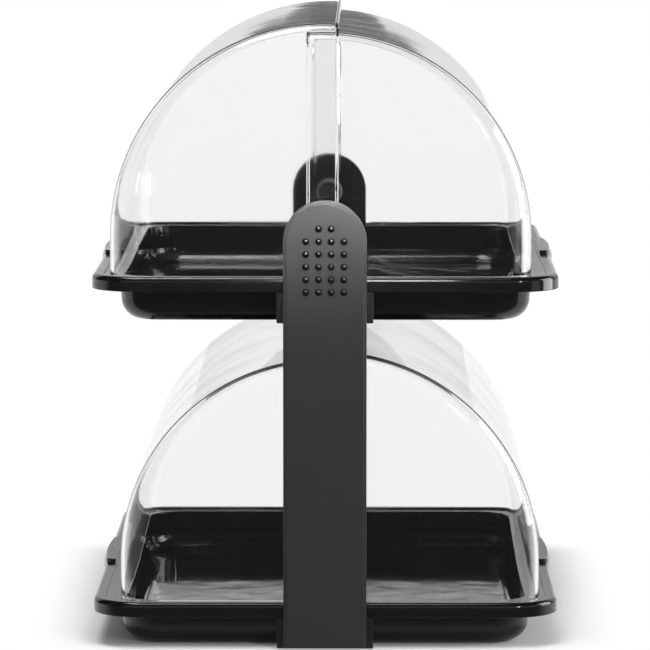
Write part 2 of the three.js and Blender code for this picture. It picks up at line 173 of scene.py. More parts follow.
def named_primitive(name: str, add: Callable[..., object], **options: object) -> Piece:
    """Adds a primitive with nothing else selected and names it.

    Args:
        name: The new object's name.
        add: The operator that adds the primitive.
        **options: The operator's own options.

    Returns:
        The new object.
    """
    deselect_everything()
    add(**options)
    piece = bpy.context.object
    piece.name = piece.data.name = name
    return piece


def edit_mesh(piece: Piece) -> bmesh.types.BMesh:
    """Returns the open edit mesh of a piece that is in edit mode."""
    return bmesh.from_edit_mesh(piece.data)


def open_edit(piece: Piece) -> None:
    """Opens a piece in edit mode with nothing selected in it."""
    select_only(piece)
    bpy.ops.object.mode_set(mode="EDIT")
    MESH.select_all(action="DESELECT")


def close_edit() -> None:
    """Goes back to object mode."""
    bpy.ops.object.mode_set(mode="OBJECT")


def agree_normals(merge: bool = False) -> None:
    """Selects all of the open piece, merges points that meet where asked, and makes its normals agree."""
    MESH.select_all(action="SELECT")
    if merge:
        MESH.remove_doubles(threshold=MERGE)
    MESH.normals_make_consistent(inside=False)


def select_faces(piece: Piece, wanted: Callable[[Face], bool]) -> None:
    """Selects the faces of an open piece that a test accepts.

    Args:
        piece: A piece in edit mode.
        wanted: Says of a face whether it is selected.
    """
    MESH.select_mode(type="FACE")
    MESH.select_all(action="DESELECT")
    for face in edit_mesh(piece).faces:
        if wanted(face):
            face.select_set(True)
    bmesh.update_edit_mesh(piece.data)


def move_selected(piece: Piece, before: Sequence[Vector], after: Sequence[Vector]) -> None:
    """Moves each selected vertex from its place in one ring to its place in the next.

    Args:
        piece: A piece in edit mode whose newest ring is selected.
        before: The places that the selected vertices have now.
        after: The places that they move to, in the same order.
    """
    finder = KDTree(len(before))
    for index, place in enumerate(before):
        finder.insert(place, index)
    finder.balance()
    for vertex in edit_mesh(piece).verts:
        if vertex.select:
            vertex.co = after[finder.find(vertex.co)[1]]
    bmesh.update_edit_mesh(piece.data)


def skin_by_rings(name: str, rings: Sequence[Sequence[Vector]], capped: bool = True) -> Piece:
    """Models a skin: a circle is put on the first ring and its edge is extruded from ring to ring.

    Args:
        name: The new piece's name.
        rings: Rings of equal point counts, as places in metres.
        capped: Whether the first and the last ring are closed with a face.

    Returns:
        The piece, with its normals outward.
    """
    count = len(rings[0])
    piece = named_primitive(name, MESH.primitive_circle_add, vertices=count)
    open_edit(piece)
    MESH.select_mode(type="VERT")
    MESH.select_all(action="SELECT")
    for vertex, place in zip(edit_mesh(piece).verts, rings[0]):
        vertex.co = place
    for before, after in zip(rings, rings[1:]):
        MESH.extrude_edges_move()
        move_selected(piece, before, after)
    if capped:
        MESH.edge_face_add()
        MESH.select_all(action="DESELECT")
        mesh = edit_mesh(piece)
        mesh.verts.ensure_lookup_table()
        for vertex in mesh.verts[:count]:
            vertex.select_set(True)
        mesh.select_flush(True)
        MESH.edge_face_add()
    agree_normals()
    close_edit()
    return piece


def apply_modifier(piece: Piece, kind: str, **settings: object) -> None:
    """Adds a modifier with its settings and applies it.

    Args:
        piece: The piece that is finished.
        kind: The modifier's type name.
        **settings: Attributes set on the modifier.
    """
    select_only(piece)
    modifier = piece.modifiers.new(kind.title(), kind)
    for name, value in settings.items():
        setattr(modifier, name, value)
    bpy.ops.object.modifier_apply(modifier=modifier.name)


def combine(piece: Piece, tool: Piece, operation: str) -> None:
    """Joins a tool piece to a piece or cuts it out of it, and removes the tool."""
    apply_modifier(piece, "BOOLEAN", operation=operation, object=tool, solver="EXACT")
    bpy.data.objects.remove(tool)


def break_edges(piece: Piece, width: float, segments: int, over: float) -> None:
    """Rounds a piece's sharp edges.

    Args:
        piece: The piece that is finished.
        width: The rounding's width in millimetres.
        segments: How many faces the rounding has.
        over: Edges sharper than this many degrees are rounded.
    """
    apply_modifier(piece, "BEVEL", width=width * MM, segments=segments, limit_method="ANGLE",
                   angle_limit=math.radians(over))


def bisect(place: Vector, normal: Vector, clear: bool) -> None:
    """Cuts the open piece by a plane and, where asked, removes what lies beyond it.

    Args:
        place: A point of the plane.
        normal: The plane's direction, which points at what is removed.
        clear: Whether the far side is removed.
    """
    MESH.select_all(action="SELECT")
    MESH.bisect(plane_co=place, plane_no=normal, clear_outer=clear, use_fill=False)


def copied(piece: Piece, name: str, move: Matrix) -> Piece:
    """Copies a piece with its own mesh and puts the copy's place in that mesh.

    Args:
        piece: The piece that is repeated.
        name: The copy's name.
        move: The turn and shift from the piece to its copy.

    Returns:
        The copy.
    """
    twin = piece.copy()
    twin.data = piece.data.copy()
    twin.name = twin.data.name = name
    bpy.context.collection.objects.link(twin)
    twin.data.transform(move)
    return twin


def joined(pieces: Sequence[Piece]) -> Piece:
    """Joins pieces into the first of them and returns it."""
    select_only(pieces[0])
    for piece in pieces:
        piece.select_set(True)
    bpy.ops.object.join()
    return bpy.context.object


def at(x: float = 0, y: float = 0, z: float = 0) -> Vector:
    """Turns a place in millimetres to metres."""
    return Vector((x * MM, y * MM, z * MM))


def shift(x: float = 0, y: float = 0, z: float = 0) -> Matrix:
    """Returns a shift by millimetres."""
    return Matrix.Translation(at(x, y, z))


def block(name: str, middle: Place, size: Place) -> Piece:
    """Adds a block with its middle and its size in millimetres."""
    piece = named_primitive(name, MESH.primitive_cube_add, size=1.0)
    piece.data.transform(shift(*middle) @ Matrix.Diagonal((*(side * MM for side in size), 1)))
    return piece


def arc(radius: float, start: float, end: float, steps: int) -> list[Point]:
    """Lists the points of an arc about zero.

    Args:
        radius: The arc's radius.
        start: The first angle in quarter turns.
        end: The last angle in quarter turns.
        steps: How many chords the arc has.

    Returns:
        The first and second coordinate of each point.
    """
    angles = [QUARTER * (start + (end - start) * i / steps) for i in range(steps + 1)]
    return [(radius * math.cos(angle), radius * math.sin(angle)) for angle in angles]


def turned_rings(profile: Iterable[Point], sides: int, height: float) -> list[list[Vector]]:
    """Makes the rings of a body turned about an axis along Y.

    Args:
        profile: Radius and place along Y of each ring, in millimetres.
        sides: How many points a ring has.
        height: The axis's height in millimetres.

    Returns:
        The rings in metres.
    """
    angles = [2 * math.pi * i / sides for i in range(sides)]
    return [
        [Vector((radius * math.cos(a), along, height + radius * math.sin(a))) * MM for a in angles]
        for radius, along in profile
    ]


# ---- finishes


@dataclass(frozen=True)
class Pattern:
    """A cloudy pattern: the real size of its clouds, and how fine and how rough their detail is."""

    size_mm: float
    detail: float = 2.0
    roughness: float = 0.5

    def values(self) -> Values:
        """Returns the values that a noise texture takes for the pattern."""
        return {"Scale": 1 / (self.size_mm * MM), "Detail": self.detail, "Roughness": self.roughness}


@dataclass(frozen=True)
class Finish:
    """What every finish has: a name, and a shader with texture read from object coordinates."""

    name: str

    def material(self) -> Material:
        """Returns the finish's material, made the first time it is asked for."""
        found = bpy.data.materials.get(self.name)
        if found:
            return found
        made = bpy.data.materials.new(self.name)
        tree = emptied_tree(made)
        self.build(tree, add_node(tree, "TexCoord").outputs["Object"])
        return made

    def build(self, tree: Tree, place: Socket) -> None:
        """Fills the material's node tree, given the socket of a point's place on the object."""
        raise NotImplementedError

    def coat(self, tree: Tree, colours: tuple[str, str], tint: Socket | None, wear: Socket, limits: Point,
             glosses: Point, relief: tuple[Socket, float, float] | None = None, **values: object) -> None:
        """Adds the shader and its output, with the colour, the gloss and the surface that patterns drive.

        Args:
            tree: The material's node tree.
            colours: The colour at tint 0 and the one at tint 1.
            tint: The pattern that mixes the two, or None for the first colour alone.
            wear: The pattern that drives the roughness.
            limits: The values of that pattern at which the roughness is at its two ends.
            glosses: The roughness at those two ends.
            relief: The bump's pattern, its strength and its height in metres, if any.
            **values: Values set on the shader's own inputs, with _ for a space in their names.
        """
        inputs: Values = {name.replace("_", " "): value for name, value in values.items()}
        gloss = add_node(tree, "MapRange", values={"From Min": limits[0], "From Max": limits[1],
                                                   "To Min": glosses[0], "To Max": glosses[1]},
                         links={"Value": wear})
        links = {"Roughness": gloss.outputs[0]}
        if tint:
            mix = add_node(tree, "Mix", {"data_type": "RGBA"},
                           {"6": linear(colours[0]), "7": linear(colours[1])}, {"0": tint})
            links["Base Color"] = mix.outputs[2]
        else:
            inputs["Base Color"] = linear(colours[0])
        if relief:
            bump = add_node(tree, "Bump", values={"Strength": relief[1], "Distance": relief[2]},
                            links={"Height": relief[0]})
            links["Normal"] = bump.outputs[0]
        shader = add_node(tree, "BsdfPrincipled", values=inputs, links=links)
        add_node(tree, "OutputMaterial", links={"Surface": shader.outputs[0]})


@dataclass(frozen=True)
class GlossPlastic(Finish):
    """ABS moulded in a polished tool: a deep gloss with a faint ripple and fine handling marks."""

    colour: str = "#0b0b0c"
    worn_colour: str = "#141415"
    roughness: float = 0.09
    worn_roughness: float = 0.17
    ripple: Pattern = Pattern(26.0, 1.0)
    ripple_strength: float = 0.12
    ripple_height_mm: float = 0.6
    haze: Pattern = Pattern(45.0, 4.0, 0.6)
    scratch: Pattern = Pattern(1.6, 3.0, 0.7)
    scratch_stretch: float = 0.06
    worn_limits: Point = (0.12, 0.42)
    ior: float = 1.5

    def build(self, tree: Tree, place: Socket) -> None:
        """Fills the tree: haze mixes two blacks and two glosses, and a long ripple bends reflections."""
        haze, ripple = [
            add_node(tree, "TexNoise", values=pattern.values(), links={"Vector": place}).outputs["Fac"]
            for pattern in (self.haze, self.ripple)
        ]
        # Hairline marks from wiping lie along the tray, a few tenths of a millimetre apart
        along = add_node(tree, "Mapping", values={"Scale": (1.0, self.scratch_stretch, 1.0)},
                         links={"Vector": place})
        marks = add_node(tree, "TexNoise", values=self.scratch.values(), links={"Vector": along.outputs[0]})
        both = add_node(tree, "Math", {"operation": "MULTIPLY"},
                        links={"0": haze, "1": marks.outputs["Fac"]})
        self.coat(tree, (self.colour, self.worn_colour), haze, both.outputs[0], self.worn_limits,
                  (self.roughness, self.worn_roughness),
                  (ripple, self.ripple_strength, self.ripple_height_mm * MM), IOR=self.ior)


@dataclass(frozen=True)
class SatinPlastic(Finish):
    """ABS moulded in a spark-eroded tool: an even satin black whose fine grain scatters the light."""

    colour: str = "#262627"
    grain_colour: str = "#2e2e2f"
    roughness: float = 0.4
    roughness_change: float = 0.04
    grain: Pattern = Pattern(0.55, 2.0, 0.6)
    cloud: Pattern = Pattern(30.0)
    cloud_limits: Point = (0.3, 0.7)
    depth: float = 0.12
    depth_mm: float = 0.1
    ior: float = 1.5

    def build(self, tree: Tree, place: Socket) -> None:
        """Fills the tree: the grain drives colour and bump, and slow clouds vary the gloss."""
        # The real grain is near 0.1 mm, and it is drawn about five times as coarse so that it shows
        grain, cloud = [
            add_node(tree, "TexNoise", values=pattern.values(), links={"Vector": place}).outputs["Fac"]
            for pattern in (self.grain, self.cloud)
        ]
        glosses = (self.roughness - self.roughness_change, self.roughness + self.roughness_change)
        self.coat(tree, (self.colour, self.grain_colour), grain, cloud, self.cloud_limits, glosses,
                  (grain, self.depth, self.depth_mm * MM), IOR=self.ior)


@dataclass(frozen=True)
class ClearPlastic(Finish):
    """Acrylic moulded clear and polished: see-through, with a slow waviness in its reflections."""

    colour: str = "#ffffff"
    roughness: float = 0.015
    hazed_roughness: float = 0.05
    wave: Pattern = Pattern(70.0, 1.0)
    wave_strength: float = 0.1
    wave_height_mm: float = 0.6
    wave_limits: Point = (0.35, 0.75)
    ior: float = 1.45

    def build(self, tree: Tree, place: Socket) -> None:
        """Fills the tree: a clear shader whose gloss and surface vary slowly over the lid."""
        wave = add_node(tree, "TexNoise", values=self.wave.values(), links={"Vector": place}).outputs[0]
        relief = (wave, self.wave_strength, self.wave_height_mm * MM)
        self.coat(tree, (self.colour, self.colour), None, wave, self.wave_limits,
                  (self.roughness, self.hazed_roughness), relief, IOR=self.ior, Transmission_Weight=1.0)


@dataclass(frozen=True)
class ZincSteel(Finish):
    """Zinc-plated steel: a cool bright metal whose plating is slightly cloudy."""

    colour: str = "#b9bcc0"
    dull_colour: str = "#94979b"
    roughness: float = 0.22
    dull_roughness: float = 0.36
    cloud: Pattern = Pattern(2.5, 3.0)
    cloud_limits: Point = (0.3, 0.7)

    def build(self, tree: Tree, place: Socket) -> None:
        """Fills the tree: clouds of the plating vary the metal's colour and gloss."""
        cloud = add_node(tree, "TexNoise", values=self.cloud.values(), links={"Vector": place}).outputs[0]
        self.coat(tree, (self.colour, self.dull_colour), cloud, cloud, self.cloud_limits,
                  (self.roughness, self.dull_roughness), Metallic=1.0)


# Polished moulded ABS, handled and wiped: the trays' rims and outsides, a deep black, slightly hazy gloss
TRAY_GLOSS = GlossPlastic("gloss_black_abs")
# The same where no hand rubs it, so the wells mirror the lids and the room almost sharply; its darker black
# is painted shade in the wells
SHADED_WELL_GLOSS = GlossPlastic("polished_black_abs_painted_shade", colour="#050505", worn_colour="#0a0a0b", roughness=0.04,
                          worn_roughness=0.08)
# The same in small: each dome carries a bright point of light on black
DOME_GLOSS = GlossPlastic("gloss_black_dome", colour="#070708", worn_colour="#0c0c0d", roughness=0.08,
                          worn_roughness=0.12)
# Spark-eroded moulded ABS: the uprights look dark grey, with broad soft light on them
UPRIGHT_SATIN = SatinPlastic("satin_black_abs")
# The same, darker: the brackets and pins stand in the uprights' shade
BRACKET_SATIN = SatinPlastic("satin_black_bracket", colour="#161617", grain_colour="#1c1c1d",
                             roughness=0.34)
# Moulded acrylic: the lids are seen by their edges and by what they mirror
LID_CLEAR = ClearPlastic("clear_acrylic")
# Moulded acetal in its natural colour: a waxy off-white with hardly any grain
WASHER_ACETAL = SatinPlastic("natural_acetal", colour="#b6b7b2", grain_colour="#bfc0bb", roughness=0.42,
                             grain=Pattern(0.8, 2.0, 0.6), depth=0.05)
# Plated steel: small cool glints on the screw heads
SCREW_ZINC = ZincSteel("zinc_plated_steel")


def dress(piece: Piece, *finishes: Finish, degrees: float = 32.0) -> Piece:
    """Shades a piece smooth up to an angle, leaning on its large faces, and gives it its finishes.

    Args:
        piece: The modelled piece.
        *finishes: Its finishes, one material slot each.
        degrees: Edges sharper than this stay sharp.

    Returns:
        The same piece.
    """
    select_only(piece)
    bpy.ops.object.shade_smooth_by_angle(angle=math.radians(degrees))
    apply_modifier(piece, "WEIGHTED_NORMAL", keep_sharp=True, weight=FACE_WEIGHT)
    piece.data.materials.clear()
    for finish in finishes:
        piece.data.materials.append(finish.material())
    return piece


def settle(piece: Piece, body: str, node: str) -> None:
    """Ties a finished piece to its body, hides the node that it stands for, and reports it.

    Args:
        piece: The finished piece.
        body: The body that it moves with.
        node: The node that it stands for.
    """
    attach(piece, body)
    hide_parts(node)
    LOG.info("%s: %d faces, rides on %s", piece.name, len(piece.data.polygons), body)


# ---- the case's own sizes


@dataclass(frozen=True)
class Sizes:
    """Sizes that several sub-assemblies share, in millimetres."""

    gap: float = 0.3
    rim_width: float = 316.0
    rim_length: float = 440.0
    rim_top: float = 32.0
    ledge_top: float = 30.8
    skirt_bottom: float = 22.0
    skirt_wall: float = 2.5
    rim_underside: float = 28.3
    swell: float = 3.0
    swell_length: float = 156.0
    pivot_height: float = 56.0
    tier_pitch: float = 221.0
    well_half_length: float = 199.7
    well_half_width: float = 137.0
    body_half_width: float = 139.8
    body_half_length: float = 202.5
    outer_lid_end: float = 211.0
    inner_lid_end: float = 206.2
    lid_wall: float = 2.2
    upright_inner_face: float = 220.3
    pin_bore_radius: float = 4.3
    screw_spacing: float = 36.0
    screw_height: float = 17.7

    def swell_share(self, along: float) -> float:
        """Says how far the rim's long side swells at a place along it, from 0 to 1."""
        half = self.swell_length / 2
        return 0.0 if abs(along) >= half else math.cos(QUARTER * along / half) ** 2


SIZES = Sizes()
PIVOT = at(z=SIZES.pivot_height)


@dataclass
class Tray:
    """One tray: well, ledge, raised band, skirt and body in one moulding."""

    corner_radius: float = 34.0
    edge_radius: float = 3.5
    band_width: float = 8.0
    band_break: float = 0.5
    pad_length: float = 100.0
    pad_height: float = 2.6
    pad_inset: float = 1.8
    pad_corner: float = 4.0
    pad_edge: float = 0.6
    wall: float = 2.8
    floor: float = 3.0
    well_corner_radius: float = 25.0
    foot_radius: float = 14.0
    draft: float = 1.0
    collar_step: float = 1.0
    lip_radius: float = 0.8
    finish_margin: float = 0.1
    corner_steps: int = 18
    swell_steps: int = 26
    fillet_steps: int = 10
    foot_steps: int = 12
    lip_steps: int = 4
    break_steps: int = 3
    pad_steps: int = 20
    pad_corner_steps: int = 8
    pad_edge_steps: int = 5

    def ring(self, half_width: float, half_length: float, radius: float, swell: float,
             level: float) -> list[Vector]:
        """Makes one ring of the tray's skin.

        Args:
            half_width: Half the ring's size along X.
            half_length: Half the ring's size along Y.
            radius: The ring's corner radius.
            swell: How far the long sides swell outward in their middle.
            level: The ring's height.

        Returns:
            The ring's places in metres.
        """
        points = []
        reach = SIZES.swell_length / 2
        for side_x, side_y, quarter in ((1, 1, 0), (-1, 1, 1), (-1, -1, 2), (1, -1, 3)):
            for x, y in arc(radius, quarter, quarter + 1, self.corner_steps):
                points.append((side_x * (half_width - radius) + x, side_y * (half_length - radius) + y))
            if quarter in (1, 3):
                for i in range(self.swell_steps + 1):
                    along = side_y * (reach * (1 - 2 * i / self.swell_steps))
                    points.append((side_x * (half_width + swell * SIZES.swell_share(along)), along))
        return [Vector((x, y, level)) * MM for x, y in points]

    def well_rings(self) -> list[list[Vector]]:
        """Makes the rings of the well, from its floor up to the ledge."""
        s = SIZES
        radius = self.foot_radius - self.wall
        steps = [(radius - out + self.draft, self.floor + radius + up)
                 for out, up in arc(radius, -1, 0, self.fillet_steps)]
        steps += [(out - self.lip_radius, s.ledge_top - self.lip_radius + up)
                  for out, up in arc(self.lip_radius, 0, 1, self.lip_steps)]
        return [self.ring(s.well_half_width - inset, s.well_half_length - inset,
                          self.well_corner_radius - inset, 0, level) for inset, level in steps]

    def rim_rings(self) -> list[list[Vector]]:
        """Makes the rings of the rim, from the ledge over the raised band and down the skirt."""
        s = SIZES
        steps = [(self.band_width, 0, s.ledge_top)]
        steps += [(self.band_width - self.band_break - out, 0, s.rim_top - self.band_break + up)
                  for out, up in arc(self.band_break, 2, 1, self.break_steps)]
        steps += [(self.edge_radius - out, 1, s.rim_top - self.edge_radius + up)
                  for out, up in arc(self.edge_radius, 1, 0, self.fillet_steps)]
        steps += [(self.band_break - out, 1, s.skirt_bottom + self.band_break + up)
                  for out, up in arc(self.band_break, 0, -1, self.break_steps)]
        steps += [(s.skirt_wall, 1, s.skirt_bottom), (s.skirt_wall, 1, s.rim_underside - self.band_break),
                  (s.skirt_wall + self.band_break, 1, s.rim_underside)]
        return [self.ring(s.rim_width / 2 - inset, s.rim_length / 2 - inset, self.corner_radius - inset,
                          s.swell * share, level) for inset, share, level in steps]

    def body_rings(self) -> list[list[Vector]]:
        """Makes the rings of the body, from under the rim down to the flat bottom."""
        s = SIZES
        steps = [(-self.collar_step, s.rim_underside), (0, s.rim_underside - self.collar_step)]
        steps += [(self.foot_radius - out + self.draft, self.foot_radius + up)
                  for out, up in arc(self.foot_radius, 0, -1, self.foot_steps)]
        return [self.ring(s.body_half_width - inset, s.body_half_length - inset,
                          self.wall + self.well_corner_radius - inset, 0, level) for inset, level in steps]

    def pad_ring(self, side: int, inset: float, level: float) -> list[Vector]:
        """Makes one ring of a grip pad, whose outer edge follows the rim's swell.

        Args:
            side: Which long side the pad is on, 1 or -1.
            inset: How far the ring lies inside the pad's outline.
            level: The ring's height.

        Returns:
            The ring's places in metres.
        """
        s = SIZES
        corner = self.pad_corner - inset
        straight = self.pad_length / 2 - self.pad_corner

        def reach(along: float) -> float:
            """Gives the outer edge's place across the tray at a place along it."""
            return s.rim_width / 2 + s.swell * s.swell_share(along) - self.pad_inset - inset

        root = s.rim_width / 2 - self.band_width + self.band_break + inset
        end = [(root, self.pad_length / 2 - inset)]
        for out, along in arc(corner, 1, 0, self.pad_corner_steps):
            end.append((reach(straight) - corner + out, straight + along))
        places = [straight * (1 - 2 * i / self.pad_steps) for i in range(1, self.pad_steps)]
        flat = end + [(reach(along), along) for along in places]
        flat += [(out, -along) for out, along in reversed(end)]
        return [Vector((side * out, along, level)) * MM for out, along in flat]

    def add_pads(self, piece: Piece) -> None:
        """Joins the raised grip pad in the middle of each long side to the tray."""
        top = SIZES.rim_top + self.pad_height
        for side in (-1, 1):
            rings = [self.pad_ring(side, 0, SIZES.rim_top - self.edge_radius / 2)]
            for out, up in arc(self.pad_edge, 0, 1, self.pad_edge_steps):
                rings.append(self.pad_ring(side, self.pad_edge - out, top - self.pad_edge + up))
            combine(piece, skin_by_rings("pad", rings), "UNION")

    def polish_and_shade_well(self, piece: Piece) -> None:
        """Gives the faces inside the well the second finish, glossier and with a darker black that paints
        the well's shade, up to the well's lip.
        """
        s = SIZES
        margin = self.finish_margin * MM
        half_width, half_length = s.well_half_width * MM + margin, s.well_half_length * MM + margin
        low, top = self.floor * MM - margin, (s.ledge_top - self.lip_radius) * MM
        # Faces inside the well take the darker black, which is painted shade
        for face in piece.data.polygons:
            x, y, z = face.center
            inside = abs(x) < half_width and abs(y) < half_length and low < z < top
            if inside and face.normal.dot(face.center) < face.normal.z:
                face.material_index = 1

    def build(self) -> list[Piece]:
        """Models the lower tray, copies it one tier up and dresses both."""
        lower = skin_by_rings("lower_tray_skin", self.well_rings() + self.rim_rings() + self.body_rings())
        self.add_pads(lower)
        dress(lower, TRAY_GLOSS, SHADED_WELL_GLOSS)
        self.polish_and_shade_well(lower)
        upper = copied(lower, "upper_tray_skin", shift(z=SIZES.tier_pitch))
        for tier, piece in ((Tier.LOWER, lower), (Tier.UPPER, upper)):
            settle(piece, "case", f"{tier.value}_tray")
        return [lower, upper]


@dataclass
class Lid:
    """One kind of quarter-drum lid, modelled at the lower tier's pivot for the side towards -X."""

    kind: LidKind
    radius: float
    end: float
    top_round: float
    overlap: float
    base_round: float = 20.0
    skirt_angle: float = math.pi / 5
    lip_height: float = 1.1
    lip_width: float = 2.2
    lip_slope: float = 0.7
    lip_start: float = 14.0
    lip_facing: float = 0.3
    edge_break: float = 0.3
    break_over: float = 50.0
    break_steps: int = 2
    smooth_to: float = 40.0
    step_degrees: float = 2.0
    disc_shares: tuple[float, ...] = (0.25, 0.6, 0.97)
    round_steps: int = 12
    foot_cuts: int = 7

    def round_at(self, angle: float) -> float:
        """Gives the rounding between curved wall and end wall, which grows towards the base."""
        share = min(1.0, max(0.0, (angle - QUARTER) / QUARTER))
        return self.top_round + (self.base_round - self.top_round) * share ** 2

    def reach_at(self, angle: float) -> float:
        """Gives the curved wall's distance from the pivot, with a straight skirt below it."""
        below = angle - math.pi
        return self.radius / math.cos(below) if 0 < below < self.skirt_angle else self.radius

    def profile_at(self, angle: float) -> list[Point]:
        """Lists distance from the pivot and place along Y, from the pin's hole to the curved wall."""
        bore, reach, rounding = SIZES.pin_bore_radius, self.reach_at(angle), self.round_at(angle)
        profile = [(bore, self.end)]
        profile += [(bore + (reach - rounding - bore) * share, self.end) for share in self.disc_shares]
        for step in range(self.round_steps + 1):
            turn = QUARTER * (1 - step / self.round_steps)
            profile.append((reach - rounding * (1 - math.cos(turn)),
                            self.end - rounding * (1 - math.sin(turn))))
        return profile

    def rings(self) -> list[list[Vector]]:
        """Makes rings about the pivot, from hole to hole, with a point of each at the free edge."""
        first = math.acos(self.overlap / self.radius)
        count = round(360 / self.step_degrees)
        lines = []
        for i in range(count):
            angle = first + 2 * math.pi * i / count
            lines.append([
                Vector((out * math.cos(angle), along, SIZES.pivot_height + out * math.sin(angle))) * MM
                for out, along in self.profile_at(angle)
            ])
        half = [list(ring) for ring in zip(*lines)]
        return half + [[Vector((p.x, -p.y, p.z)) for p in ring] for ring in reversed(half)]

    def cut(self, piece: Piece) -> None:
        """Cuts the drum to a lid: the free edge, the base line and the round foot under the pivot."""
        foot = SIZES.pivot_height - SIZES.ledge_top - SIZES.gap
        open_edit(piece)
        bisect(at(self.overlap), RIGHT, True)
        bisect(at(z=SIZES.pivot_height - foot), -UP, True)
        widest = math.asin(self.overlap / foot)
        for i in range(1, self.foot_cuts + 1):
            angle = widest * i / self.foot_cuts
            normal = Vector((math.sin(angle), 0, -math.cos(angle)))
            bisect(PIVOT + normal * foot * MM, normal, True)
        bisect(at(self.overlap - self.lip_width), RIGHT, False)
        bisect(PIVOT + at(z=self.lip_start), UP, False)
        agree_normals(merge=True)
        faces = edit_mesh(piece).faces
        if sum(face.normal.dot(face.calc_center_median() - PIVOT) * face.calc_area() for face in faces) < 0:
            MESH.flip_normals()
        close_edit()

    def raise_lip(self, piece: Piece) -> None:
        """Raises the strip along the free edge to a lip with sloped sides, round both ends."""
        inner = (self.overlap - self.lip_width) * MM
        low = PIVOT.z + self.lip_start * MM

        def on_strip(face: Face) -> bool:
            """Says whether a face lies on the lid's outside, in the strip along the free edge."""
            middle = face.calc_center_median()
            facing = face.normal.dot((middle - PIVOT).normalized())
            return middle.x > inner and middle.z > low and facing > self.lip_facing

        open_edit(piece)
        select_faces(piece, on_strip)
        MESH.inset(thickness=self.lip_slope * MM, depth=0.0, use_even_offset=False)
        bpy.ops.transform.shrink_fatten(value=self.lip_height * MM)
        close_edit()

    def model(self) -> Piece:
        """Models the lid of the lower tier that stands on the side towards -X, and dresses it."""
        piece = skin_by_rings(f"{self.kind.value}_lid_skin", self.rings(), capped=False)
        self.cut(piece)
        apply_modifier(piece, "SOLIDIFY", thickness=SIZES.lid_wall * MM, offset=-1.0,
                       use_even_offset=True, use_quality_normals=True)
        self.raise_lip(piece)
        break_edges(piece, self.edge_break, self.break_steps, self.break_over)
        return dress(piece, LID_CLEAR, degrees=self.smooth_to)


@dataclass
class LidPair:
    """The four lids: each kind is modelled once and copied to the other tier, turned end for end."""

    outer: Lid = field(default_factory=lambda: Lid(
        LidKind.OUTER, radius=145.5, end=SIZES.outer_lid_end, top_round=9.0, overlap=9.0))
    inner: Lid = field(default_factory=lambda: Lid(
        LidKind.INNER, radius=139.5, end=SIZES.inner_lid_end, top_round=10.0, overlap=12.5, lip_height=0.6))

    def build(self) -> list[Piece]:
        """Models both kinds and puts each on both tiers."""
        lift = shift(z=SIZES.tier_pitch)
        turns = {
            (LidKind.OUTER, Tier.UPPER): lift,
            (LidKind.OUTER, Tier.LOWER): HALF_TURN,
            (LidKind.INNER, Tier.UPPER): lift @ HALF_TURN,
            (LidKind.INNER, Tier.LOWER): Matrix.Identity(4),
        }
        made = []
        for lid in (self.outer, self.inner):
            first = lid.model()
            for tier in Tier:
                node = f"{tier.value}_{lid.kind.value}_lid"
                made.append(copied(first, f"{node}_shell", turns[(lid.kind, tier)]))
                settle(made[-1], node, node)
            bpy.data.objects.remove(first)
        return made


